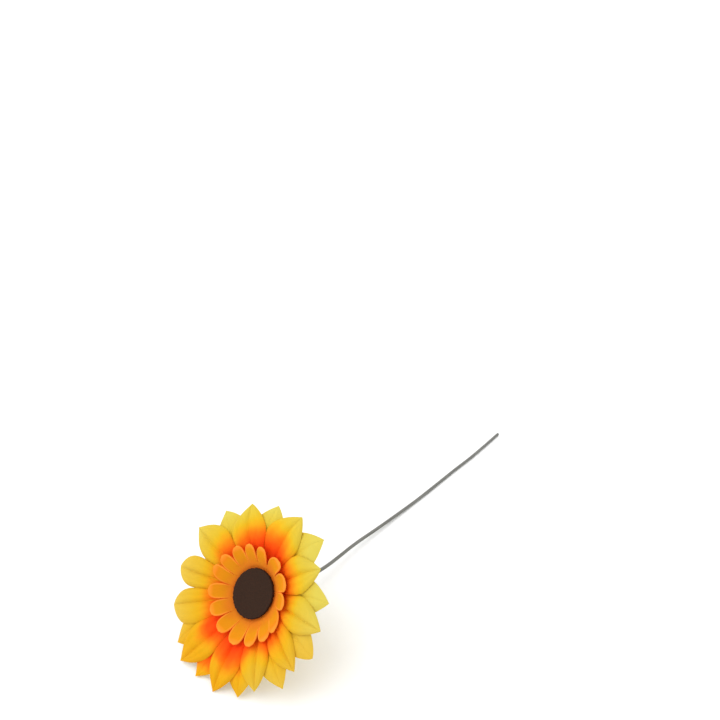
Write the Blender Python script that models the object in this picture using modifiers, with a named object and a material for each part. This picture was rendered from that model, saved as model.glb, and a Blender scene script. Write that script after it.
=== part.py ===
"""Artificial cut sunflower, lying on a table: die-cut foam petal layers threaded on a coated wire stem.

Frame: metres, +Z up, table at z = 0. The stem runs along X and the flower head is at the +X end, facing
+X and up. The origin is the middle of the footprint. The head has a frame of its own: origin in the
middle of the seed disc's face, +Z out of the face, +Y up the face, +X to the right of someone facing it.
"""

import math

import bmesh
import bpy
from mathutils import Matrix, Vector

MM = 0.001
GAP = 0.3 * MM  # between pieces that touch in the real flower

# How the head sits: its face looks 40 degrees above the table, turned slightly off the stem's line.
FACE_LIFT = math.radians(40)
FACE_TURN = math.radians(1.5)

# The stack, from the face backwards. Each sheet starts one gap below the last.
DISC_RADIUS = 18.4 * MM
DISC_THICK = 3.0 * MM
POCKET_RADIUS = 5.4 * MM
POCKET_DEPTH = 1.6 * MM
RING_SHEET = 1.2 * MM
PETAL_SHEET = 1.3 * MM
LEAF_SHEET = 0.8 * MM

# The stem: a steel core in a plastic sleeve.
CORE_RADIUS = 0.85 * MM
SLEEVE_RADIUS = 1.55 * MM
SLEEVE_WALL = 0.3 * MM
STEM_SIDES = 2  # bevel resolution, which gives 8 sides
STEM_STEP = 8 * MM
# Middle line of the stem behind the head: x and y from below the disc, and height above the table.
STEM_ROUTE = [
    (-85, -4.0, 11.8),
    (-136, -5.3, 6.3),
    (-171, -3.6, 3.8),
    (-226, -0.4, 1.55),
    (-252, 1.1, 1.55),
    (-307, 3.2, 1.55),
    (-350, 5.4, 1.55),
    (-415, 6.0, 1.55),
]

CALYX_RADIUS = 9.0 * MM
CALYX_LENGTH = 14.0 * MM
WASHER_RADIUS = 5.0 * MM
WASHER_THICK = 1.3 * MM

# Small orange petals, cupped round the disc.
RING_COUNT = 15
RING_ROOT = 18.6 * MM
RING_LIFT = 13.3 * MM
RING_START = 5.6  # degrees
# Each small petal's tip distance in mm, and the degrees by which its end leans round.
RING_TIPS = [34.3, 35.8, 36, 35, 38, 38, 37, 36, 34, 33.5, 35, 37, 36.5, 35.7, 35]
RING_LEAN = [-9.6, -2.6, 2.4, -1.6, 5.4, -1.6, -2.6, -3.1, -0.6, 2.9, 6.4, 6.4, -0.6, 3.4, -3.6]

# Large yellow petals: two layers of eleven, the lower one showing between the upper ones.
PETAL_COUNT = 11
PETAL_ROOT = 19.5 * MM
UPPER_START = -29  # degrees clockwise from the top of the face, of the first upper petal
# Degrees by which each petal is pressed round from its even place, and its tip's distance in mm.
UPPER_PRESSED = [0, 10, 14, 16, 10, 5, 6, 2, 5, -3, -8]
UPPER_TIPS = [67, 70.5, 65.4, 69.8, 68.5, 67.2, 70.5, 75.0, 75, 75, 74.1]
LOWER_TIPS = [67.8, 73.4, 69.8, 71.9, 71.9, 70.0, 67.5, 74.5, 58, 58, 70.1]
# Degrees by which the petals' ends lean round.
UPPER_LEAN = [3.3, 2.5, 1.3, 2.2, 3.1, 5.7, 1.4, 3.8, 1.6, -0.2, -1.1]
LOWER_LEAN = [2.1, 3.6, 4.1, 4.2, 1.7, 2.2, 3.3, -2.9, 0, 0, 0]
BAND_SHARE = 0.2  # the share of a petal's length that doesn't lean
EVEN_TIP = 70 * MM  # the tip distance that the petals' heights are given for

LEAF_ANGLES = [256, 317]
LEAF_TIP = 57 * MM
LEAF_HALF_WIDTH = 14.5 * MM
LEAF_STALK_HALF_WIDTH = 4 * MM
LEAF_EYELETS = [10.4 * MM, 9.6 * MM]  # past the calyx's flange, and each past the one behind it


def clear_scene():
    for item in list(bpy.data.objects):
        bpy.data.objects.remove(item, do_unlink=True)


def linear(hex_colour):
    """sRGB hex to the linear colour that a shader takes."""
    channels = [int(hex_colour[i : i + 2], 16) / 255 for i in (0, 2, 4)]
    return [c / 12.92 if c <= 0.04045 else ((c + 0.055) / 1.055) ** 2.4 for c in channels] + [1.0]


def material(name, hex_colour, roughness, metallic=0.0):
    made = bpy.data.materials.new(name)
    made.use_nodes = True
    shader = made.node_tree.nodes["Principled BSDF"]
    shader.inputs["Base Color"].default_value = linear(hex_colour)
    shader.inputs["Roughness"].default_value = roughness
    shader.inputs["Metallic"].default_value = metallic
    made.diffuse_color = linear(hex_colour)
    return made


def add_object(name, data, finish, parent, collection):
    item = bpy.data.objects.new(name, data)
    data.materials.append(finish)
    item.parent = parent
    collection.objects.link(item)
    return item


def smooth_step(value):
    value = min(1.0, max(0.0, value))
    return value * value * (3 - 2 * value)


# ---------------------------------------------------------------- sheets with petals or leaves


class Blade:
    """One petal or leaf of a sheet: where it points, how far it spreads to each side, and its reach."""

    def __init__(self, centre, left, right, root, tip, lean=0.0):
        self.centre = centre
        self.left = left
        self.right = right
        self.root = root
        self.tip = tip
        self.lean = math.radians(lean)
        self.stretch = 1.0

    def middle_at(self, along):
        """The direction of the blade's middle line at this part of its length."""
        past_band = max(0.0, along - BAND_SHARE) / (1 - BAND_SHARE)
        return self.centre + self.lean * past_band**2


def even_blades(count, start, pressed, root, tips, leans, even_tip=None):
    """Blades that share the whole circle, each one reaching halfway to its neighbours."""
    centres = [math.radians(start + 360 / count * i + pressed[i]) for i in range(count)]
    blades = []
    for i, centre in enumerate(centres):
        before = centres[i - 1] - (2 * math.pi if i == 0 else 0)
        after = centres[(i + 1) % count] + (2 * math.pi if i == count - 1 else 0)
        blade = Blade(centre, (centre - before) / 2, (after - centre) / 2, root, tips[i], leans[i])
        if even_tip:
            blade.stretch = (tips[i] - root) / (even_tip - root)
        blades.append(blade)
    return blades


def between(blades, root, tips, leans):
    """Blades that point between the given ones, as a second layer set half a petal round."""
    centres = [blade.centre + blade.right for blade in blades]
    starts = [math.degrees(centre) for centre in centres]
    count = len(centres)
    pressed = [starts[i] - starts[0] - 360 / count * i for i in range(count)]
    return even_blades(count, starts[0], pressed, root, tips, leans, EVEN_TIP)


def petal_spread(blade, along, side):
    """Half the petal's angle at this part of its length: touching its neighbour, then a pointed end."""
    touching = blade.right if side > 0 else blade.left
    shoulder = 0.5
    slit = 1 - 0.035 * smooth_step(along / 0.12)
    end = max(0.0, (along - shoulder) / (1 - shoulder))
    return touching * slit * (1 - end**1.7)


def rounded_spread(blade, along, side):
    """The same for a small petal with a round end."""
    touching = blade.right if side > 0 else blade.left
    slit = 1 - 0.09 * smooth_step(along / 0.25)
    end = max(0.0, (along - 0.45) / 0.55)
    return touching * slit * math.sqrt(max(0.0, 1 - end**2.2))


def petal_height(base, rise, arch, ridge, droop):
    """The height of a petal with a creased middle and two rounded halves, as a function of the place."""

    def height(along, across):
        middle = base + rise * along + 4 * arch * along * (1 - along)
        full = smooth_step(along / 0.35) * max(0.0, 1 - max(0.0, (along - 0.55) / 0.45) ** 1.7)
        halves = ridge * math.sin(math.pi * abs(across)) * full
        return middle + halves - droop * across**2 * full

    return height


def sheet_mesh(name, blades, spread, height, hole, rows, columns):
    """A flat eyelet with a hole for the stem, and blades that grow from its rim. One open surface."""
    mesh = bmesh.new()
    base = height(0.0, 0.0)
    root = blades[0].root
    rims = []

    def place(radius, angle, z):
        return mesh.verts.new((radius * math.sin(angle), radius * math.cos(angle), z))

    for blade in blades:
        side_of = [-1 + 2 * j / columns for j in range(columns + 1)]
        first = [place(root, blade.centre + side * spread(blade, 0.0, side), base) for side in side_of]
        rims.append(first)
        before = first
        for along in rows:
            reach = root + along * (blade.tip - root)
            middle = blade.middle_at(along)
            if along == 1.0:
                point = place(reach, middle, height(blade.stretch, 0.0))
                for j in range(columns):
                    mesh.faces.new((before[j + 1], point, before[j]))
                continue
            row = [
                place(reach, middle + side * spread(blade, along, side), height(along * blade.stretch, side))
                for side in side_of
            ]
            for j in range(columns):
                mesh.faces.new((before[j + 1], row[j + 1], row[j], before[j]))
            before = row
    add_eyelet(mesh, rims, blades, root, hole, base, place)
    bmesh.ops.remove_doubles(mesh, verts=mesh.verts, dist=1e-6)
    data = bpy.data.meshes.new(name)
    mesh.to_mesh(data)
    mesh.free()
    return data


def add_eyelet(mesh, rims, blades, root, hole, base, place):
    """The ring from the hole out to the blades' roots, with plain arcs where no blade grows."""
    outer = []
    for i, rim in enumerate(rims):
        outer += rim
        ending = blades[i].centre + blades[i].right
        following = blades[(i + 1) % len(blades)]
        free = following.centre - following.left - ending
        if i == len(blades) - 1:
            free += 2 * math.pi
        steps = max(1, round(free / math.radians(30)))
        outer += [place(root, ending + free * k / steps, base) for k in range(1, steps)]
    inner = []
    for vertex in outer:
        flat = vertex.co * (hole / root)
        inner.append(mesh.verts.new((flat.x, flat.y, base)))
    for k in range(len(outer)):
        after = (k + 1) % len(outer)
        if (outer[k].co - outer[after].co).length > 1e-6:
            mesh.faces.new((inner[after], outer[after], outer[k], inner[k]))


def add_sheet(name, data, thickness, finish, parent, collection):
    item = add_object(name, data, finish, parent, collection)
    wall = item.modifiers.new("thickness", "SOLIDIFY")
    wall.thickness = thickness
    wall.offset = -1
    wall.use_even_offset = False
    return item


# ---------------------------------------------------------------- turned pieces and the stem


def add_turned(name, profile, finish, parent, collection, steps=24):
    """A profile of (radius, z) points, closed on itself, turned round the head's axis."""
    data = bpy.data.meshes.new(name)
    count = len(profile)
    edges = [(i, (i + 1) % count) for i in range(count)]
    data.from_pydata([(radius, 0, z) for radius, z in profile], edges, [])
    item = add_object(name, data, finish, parent, collection)
    screw = item.modifiers.new("turning", "SCREW")
    screw.steps = steps
    screw.render_steps = steps
    screw.use_merge_vertices = True
    screw.merge_threshold = 0.00001
    return item


def curve_through(points, start_direction):
    """Points a step apart on a smooth curve through the given ones, leaving along a direction."""
    tangents = [start_direction * (points[1] - points[0]).length]
    for before, after in zip(points, points[2:]):
        tangents.append((after - before) / 2)
    tangents.append(points[-1] - points[-2])
    line = []
    for k in range(len(points) - 1):
        start, end = points[k], points[k + 1]
        length = (end - start).length
        scale_in = length / max(tangents[k].length, 1e-9)
        scale_out = length / max(tangents[k + 1].length, 1e-9)
        steps = max(1, round(length / STEM_STEP))
        for i in range(steps):
            t = i / steps
            line.append(
                start * (2 * t**3 - 3 * t**2 + 1)
                + tangents[k] * scale_in * (t**3 - 2 * t**2 + t)
                + end * (3 * t**2 - 2 * t**3)
                + tangents[k + 1] * scale_out * (t**3 - t**2)
            )
    return line + [points[-1]]


def tube_mesh(name, line, radius, capped):
    """A round tube along the points, as a mesh with its caps welded on."""
    curve = bpy.data.curves.new(name, "CURVE")
    curve.dimensions = "3D"
    curve.bevel_depth = radius
    curve.bevel_resolution = STEM_SIDES
    curve.use_fill_caps = capped
    spline = curve.splines.new("POLY")
    spline.points.add(len(line) - 1)
    for point, place in zip(spline.points, line):
        point.co = (*place, 1)
    guide = bpy.data.objects.new(name + "_guide", curve)
    bpy.context.scene.collection.objects.link(guide)
    graph = bpy.context.evaluated_depsgraph_get()
    data = bpy.data.meshes.new_from_object(guide.evaluated_get(graph))
    bpy.data.objects.remove(guide, do_unlink=True)
    welded = bmesh.new()
    welded.from_mesh(data)
    bmesh.ops.remove_doubles(welded, verts=welded.verts, dist=1e-6)
    welded.to_mesh(data)
    welded.free()
    return data


def lowest(items):
    """The lowest point in world space of these objects, as they are drawn."""
    graph = bpy.context.evaluated_depsgraph_get()
    heights = []
    for item in items:
        drawn = item.evaluated_get(graph)
        mesh = drawn.to_mesh()
        heights += [(drawn.matrix_world @ vertex.co).z for vertex in mesh.vertices]
        drawn.to_mesh_clear()
    return min(heights)


def footprint_middle(items):
    graph = bpy.context.evaluated_depsgraph_get()
    corners = []
    for item in items:
        drawn = item.evaluated_get(graph)
        mesh = drawn.to_mesh()
        corners += [drawn.matrix_world @ vertex.co for vertex in mesh.vertices]
        drawn.to_mesh_clear()
    middle_x = (min(c.x for c in corners) + max(c.x for c in corners)) / 2
    middle_y = (min(c.y for c in corners) + max(c.y for c in corners)) / 2
    return middle_x, middle_y


# ---------------------------------------------------------------- the flower


def build_petals(head, collection):
    """The seed disc and the three petal sheets. Returns the level behind the last sheet and its objects."""
    foam_yellow = material("yellow_foam", "F7D22E", 0.75)
    foam_orange = material("orange_foam", "F29B2C", 0.75)
    hole = CORE_RADIUS + GAP

    ring_top = -DISC_THICK - GAP
    ring_tips = [tip * MM for tip in RING_TIPS]
    ring_blades = even_blades(RING_COUNT, RING_START, [0] * RING_COUNT, RING_ROOT, ring_tips, RING_LEAN)
    ring_shape = petal_height(ring_top, RING_LIFT, 0.6 * MM, 0.0, -1.0 * MM)
    ring_rows = [0.25, 0.5, 0.75, 0.93, 1.0]
    ring_mesh = sheet_mesh("inner_petal_ring", ring_blades, rounded_spread, ring_shape, hole, ring_rows, 2)
    ring = add_sheet("inner_petal_ring", ring_mesh, RING_SHEET, foam_orange, head, collection)

    rows = [0.12, 0.26, 0.4, 0.54, 0.68, 0.82, 0.93, 1.0]
    upper_top = ring_top - RING_SHEET - GAP
    upper_tips = [tip * MM for tip in UPPER_TIPS]
    upper_blades = even_blades(
        PETAL_COUNT, UPPER_START, UPPER_PRESSED, PETAL_ROOT, upper_tips, UPPER_LEAN, EVEN_TIP
    )
    upper_shape = petal_height(upper_top, 6.0 * MM - upper_top, 3.4 * MM, 2.0 * MM, 0.6 * MM)
    upper_mesh = sheet_mesh("upper_petal_layer", upper_blades, petal_spread, upper_shape, hole, rows, 4)
    upper = add_sheet("upper_petal_layer", upper_mesh, PETAL_SHEET, foam_yellow, head, collection)

    lower_top = upper_top - PETAL_SHEET - GAP
    lower_tips = [tip * MM for tip in LOWER_TIPS]
    lower_blades = between(upper_blades, PETAL_ROOT, lower_tips, LOWER_LEAN)
    lower_shape = petal_height(lower_top, 2.6 * MM - lower_top, 2.8 * MM, 0.6 * MM, 0.8 * MM)
    lower_mesh = sheet_mesh("lower_petal_layer", lower_blades, petal_spread, lower_shape, hole, rows, 4)
    lower = add_sheet("lower_petal_layer", lower_mesh, PETAL_SHEET, foam_yellow, head, collection)
    return lower_top - PETAL_SHEET, [ring, upper, lower]


def leaf_spread(blade, along, side):
    """Half a leaf's angle: an egg-shaped outline, widest past its middle."""
    reach = blade.root + along * (blade.tip - blade.root)
    stalk = LEAF_STALK_HALF_WIDTH * (1 - along)
    belly = LEAF_HALF_WIDTH * math.sin(math.pi * along**1.3)
    return (stalk + belly) / reach


def build_leaves(head, level, collection):
    """Two leaves, each with its own eyelet on the stem, one behind the other, leaning back."""
    leaf_green = material("leaf_fabric", "6F9A4A", 0.8)
    hole = CORE_RADIUS + GAP
    leaves = []
    for name, degrees, eyelet in zip(("leaf_left", "leaf_right"), LEAF_ANGLES, LEAF_EYELETS):
        top = level - GAP
        half = LEAF_STALK_HALF_WIDTH / eyelet
        blade = Blade(math.radians(degrees), half, half, eyelet, LEAF_TIP)
        shape = petal_height(top, -13 * MM, 1.0 * MM, 0.0, -2.5 * MM)
        rows = [0.12, 0.26, 0.42, 0.58, 0.72, 0.86, 1.0]
        data = sheet_mesh(name, [blade], leaf_spread, shape, hole, rows, 2)
        leaves.append(add_sheet(name, data, LEAF_SHEET, leaf_green, head, collection))
        level = top - LEAF_SHEET
    return level, leaves


def build_turned(head, level, collection):
    """The seed disc, the washer in its pocket, and the calyx that holds the stack from behind."""
    seed_brown = material("brown_foam", "3A2A20", 0.9)
    steel = material("zinc_plated_steel", "9A9A96", 0.4, 1.0)
    calyx_green = material("moulded_green_plastic", "5E8040", 0.5)
    hole = CORE_RADIUS + GAP
    rim = 0.6 * MM
    pocket = -DISC_THICK + POCKET_DEPTH
    disc_profile = [
        (0, 0),
        (DISC_RADIUS - rim, 0),
        (DISC_RADIUS, -rim),
        (DISC_RADIUS, -DISC_THICK + rim),
        (DISC_RADIUS - rim, -DISC_THICK),
        (POCKET_RADIUS, -DISC_THICK),
        (POCKET_RADIUS, pocket),
        (0, pocket),
    ]
    disc = add_turned("seed_disc", disc_profile, seed_brown, head, collection, steps=40)
    washer_top = -DISC_THICK + WASHER_THICK
    washer_profile = [
        (hole, washer_top),
        (WASHER_RADIUS, washer_top),
        (WASHER_RADIUS, -DISC_THICK),
        (hole, -DISC_THICK),
    ]
    washer = add_turned("retaining_washer", washer_profile, steel, head, collection)
    top = level - GAP
    socket = SLEEVE_RADIUS + GAP
    shoulder = top - 1.2 * MM
    calyx_profile = [
        (hole, top),
        (CALYX_RADIUS, top),
        (CALYX_RADIUS, top - 1.4 * MM),
        (CALYX_RADIUS * 0.82, top - 3.4 * MM),
        (CALYX_RADIUS * 0.58, top - 6.0 * MM),
        (CALYX_RADIUS * 0.42, top - 9.5 * MM),
        (CALYX_RADIUS * 0.36, top - CALYX_LENGTH),
        (socket, top - CALYX_LENGTH),
        (socket, shoulder),
        (hole, shoulder),
    ]
    calyx = add_turned("calyx_cap", calyx_profile, calyx_green, head, collection)
    return shoulder, top - CALYX_LENGTH, [disc, washer, calyx]


def build_stem(head_matrix, shoulder, calyx_end, root, collection):
    """The core runs up to the washer, and the sleeve stops in the calyx's socket."""
    grey_plastic = material("grey_plastic_coating", "82827A", 0.5)
    steel = material("bright_steel_wire", "B0AFA8", 0.35, 1.0)
    axis = head_matrix.to_3x3() @ Vector((0, 0, 1))
    leave = head_matrix @ Vector((0, 0, calyx_end - 2 * MM))
    route = [leave] + [Vector(point) * MM for point in STEM_ROUTE]
    behind = curve_through(route, -axis)
    core_top = head_matrix @ Vector((0, 0, -DISC_THICK + 0.9 * MM))
    sleeve_top = head_matrix @ Vector((0, 0, shoulder - GAP))
    core_line = [core_top, head_matrix @ Vector((0, 0, shoulder))] + behind
    core = add_object("stem_wire", tube_mesh("stem_wire", core_line, CORE_RADIUS, True), steel, root, collection)
    data = tube_mesh("stem_sleeve", [sleeve_top] + behind, SLEEVE_RADIUS, False)
    sleeve = add_sheet("stem_sleeve", data, SLEEVE_WALL, grey_plastic, root, collection)
    return [core, sleeve]


def main():
    clear_scene()
    collection = bpy.data.collections.new("cut_sunflower")
    bpy.context.scene.collection.children.link(collection)
    root = bpy.data.objects.new("flower", None)
    head = bpy.data.objects.new("head", None)
    collection.objects.link(root)
    collection.objects.link(head)
    head.parent = root

    level_out = Vector((math.cos(FACE_TURN), math.sin(FACE_TURN), 0))
    out = level_out * math.cos(FACE_LIFT) + Vector((0, 0, math.sin(FACE_LIFT)))
    right = Vector((-math.sin(FACE_TURN), math.cos(FACE_TURN), 0))
    up = out.cross(right)
    turn = Matrix((right, up, out)).transposed().to_4x4()
    head.matrix_local = turn

    level, petals = build_petals(head, collection)
    level, leaves = build_leaves(head, level, collection)
    shoulder, calyx_end, turned = build_turned(head, level, collection)
    bpy.context.view_layer.update()

    # The lowest petal tips rest on the table.
    head_height = -lowest(petals)
    head_matrix = Matrix.Translation((0, 0, head_height)) @ turn
    head.matrix_local = head_matrix
    stem = build_stem(head_matrix, shoulder, calyx_end, root, collection)
    bpy.context.view_layer.update()

    pieces = petals + leaves + turned + stem
    middle_x, middle_y = footprint_middle(pieces)
    root.location = (-middle_x, -middle_y, -lowest(pieces))
    for piece in pieces:
        piece.data.shade_smooth()
        piece.data.set_sharp_from_angle(angle=math.radians(40))


main()
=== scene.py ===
"""Looks of the artificial cut sunflower: moulded foam petals, seed disc, pressed leaves and coated wire.

Everything is in metres in the part's own frame. The flower head has a frame of its own too: its origin is
the middle of the seed disc's face, +Z points out of the face, +Y up the face, and angles are counted in
degrees clockwise from +Y, as seen by someone who faces the flower.
"""

import math

import bmesh
import bpy
from mathutils import Matrix, Vector


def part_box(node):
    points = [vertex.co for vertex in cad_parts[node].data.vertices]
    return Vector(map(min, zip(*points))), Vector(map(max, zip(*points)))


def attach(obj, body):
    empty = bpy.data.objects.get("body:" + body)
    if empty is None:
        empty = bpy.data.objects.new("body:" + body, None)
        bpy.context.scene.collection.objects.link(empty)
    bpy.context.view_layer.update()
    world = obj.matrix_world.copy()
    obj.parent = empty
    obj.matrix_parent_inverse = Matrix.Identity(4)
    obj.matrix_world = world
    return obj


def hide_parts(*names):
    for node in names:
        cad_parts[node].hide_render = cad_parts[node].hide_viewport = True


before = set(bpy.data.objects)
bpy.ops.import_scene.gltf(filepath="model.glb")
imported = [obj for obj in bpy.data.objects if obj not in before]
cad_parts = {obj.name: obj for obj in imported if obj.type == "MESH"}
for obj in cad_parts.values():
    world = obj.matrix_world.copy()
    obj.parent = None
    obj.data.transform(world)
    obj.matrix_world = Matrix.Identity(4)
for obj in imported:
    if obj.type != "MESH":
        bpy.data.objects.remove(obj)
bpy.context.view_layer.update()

MM = 0.001

# ------------------------------------------------------------------ the head's frame

FACE_LIFT = math.radians(40)
FACE_TURN = math.radians(1.5)
DISC_THICK = 3.0 * MM
DISC_RADIUS = 18.4 * MM

LEVEL_OUT = Vector((math.cos(FACE_TURN), math.sin(FACE_TURN), 0))
OUT = LEVEL_OUT * math.cos(FACE_LIFT) + Vector((0, 0, math.sin(FACE_LIFT)))
RIGHT = Vector((-math.sin(FACE_TURN), math.cos(FACE_TURN), 0))
UP = OUT.cross(RIGHT)
disc_low, disc_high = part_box("seed_disc")
FACE = (Vector(disc_low) + Vector(disc_high)) / 2 + OUT * DISC_THICK / 2
HEAD = Matrix.Translation(FACE) @ Matrix((RIGHT, UP, OUT)).transposed().to_4x4()

# Levels in the stack, measured out of the face. Each sheet's front is one gap behind the last one's back.
GAP = 0.3 * MM
RING_FRONT = -DISC_THICK - GAP
RING_SHEET = 1.2 * MM
UPPER_FRONT = RING_FRONT - RING_SHEET - GAP
PETAL_SHEET = 1.3 * MM
LOWER_FRONT = UPPER_FRONT - PETAL_SHEET - GAP
LEAF_FRONT = LOWER_FRONT - PETAL_SHEET - GAP
LEAF_SHEET = 0.8 * MM
CALYX_FRONT = LEAF_FRONT - 2 * (LEAF_SHEET + GAP)
STEM_HOLE = 1.15 * MM

CALYX_RADIUS = 9.0 * MM
CALYX_LENGTH = 14.0 * MM
LEAF_TIP = 57 * MM
LEAF_HALF_WIDTH = 14.5 * MM
LEAF_STALK_HALF_WIDTH = 4 * MM
LEAVES = [("left", 256, 10.4 * MM), ("right", 317, 9.6 * MM)]  # direction and eyelet radius

SLEEVE_RADIUS = 1.6 * MM
CORE_RADIUS = 0.85 * MM
# The stem's middle line behind the head, in mm: x and y from the spot below the disc, and the height.
STEM_ROUTE = [
    (-85, -4.0, 11.8),
    (-136, -5.3, 6.3),
    (-171, -3.6, 3.8),
    (-226, -0.4, 1.7),
    (-252, 1.1, 1.7),
    (-307, 3.2, 1.7),
    (-350, 5.4, 1.7),
    (-415, 6.0, 1.7),
]


# ------------------------------------------------------------------ nodes

# A colour mix node's two colours and its result, by socket number: the names A, B and Result repeat on it.
MIX_A, MIX_B, MIX_RESULT = 6, 7, 2


def linear(hex_colour):
    """sRGB hex to the linear colour that a shader takes."""
    channels = [int(hex_colour[i : i + 2], 16) / 255 for i in (0, 2, 4)]
    return [c / 12.92 if c <= 0.04045 else ((c + 0.055) / 1.055) ** 2.4 for c in channels] + [1.0]


def add_node(tree, kind, inputs=None, **settings):
    """Adds a node. Each of its inputs takes a value or another node's output."""
    made = tree.nodes.new(kind)
    for name, value in settings.items():
        setattr(made, name, value)
    for key, value in (inputs or {}).items():
        if isinstance(value, bpy.types.NodeSocket):
            tree.links.new(value, made.inputs[key])
        else:
            made.inputs[key].default_value = value
    return made


def shape_curve(made, points, sharp=()):
    """Bends a curve node through the points. The sharp ones keep a corner."""
    curve = made.mapping.curves[0]
    while len(curve.points) < len(points):
        curve.points.new(0.5, 0.5)
    for i, (place, value) in enumerate(points):
        curve.points[i].location = (place, value)
        curve.points[i].handle_type = "VECTOR" if i in sharp else "AUTO_CLAMPED"
    made.mapping.update()
    return made.outputs[0]


def shape_ramp(made, stops):
    """Sets a colour ramp's stops from (place, hex colour) pairs."""
    ramp = made.color_ramp
    while len(ramp.elements) < len(stops):
        ramp.elements.new(0.5)
    for element, (place, colour) in zip(ramp.elements, stops):
        element.position = place
        element.color = linear(colour) if isinstance(colour, str) else colour
    return made.outputs[0]


# ------------------------------------------------------------------ a sheet cut into petals, as a tree

HUB_SHARE = 0.1  # the share of a petal's rows that cover the flat hub
BAND_SHARE = 0.2  # the share of a petal's length that is still joined to its neighbours
DROOP_START = 0.42  # the share of its length from which a petal's sides droop
CURL_START = 0.62  # the share of its length from which a petal's end curls
UNEVEN_SCALE = 1.7  # how many times a petal's uneven waves repeat along it
WELD = 0.002 * MM  # points of a sheet that are closer than this become one


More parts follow.
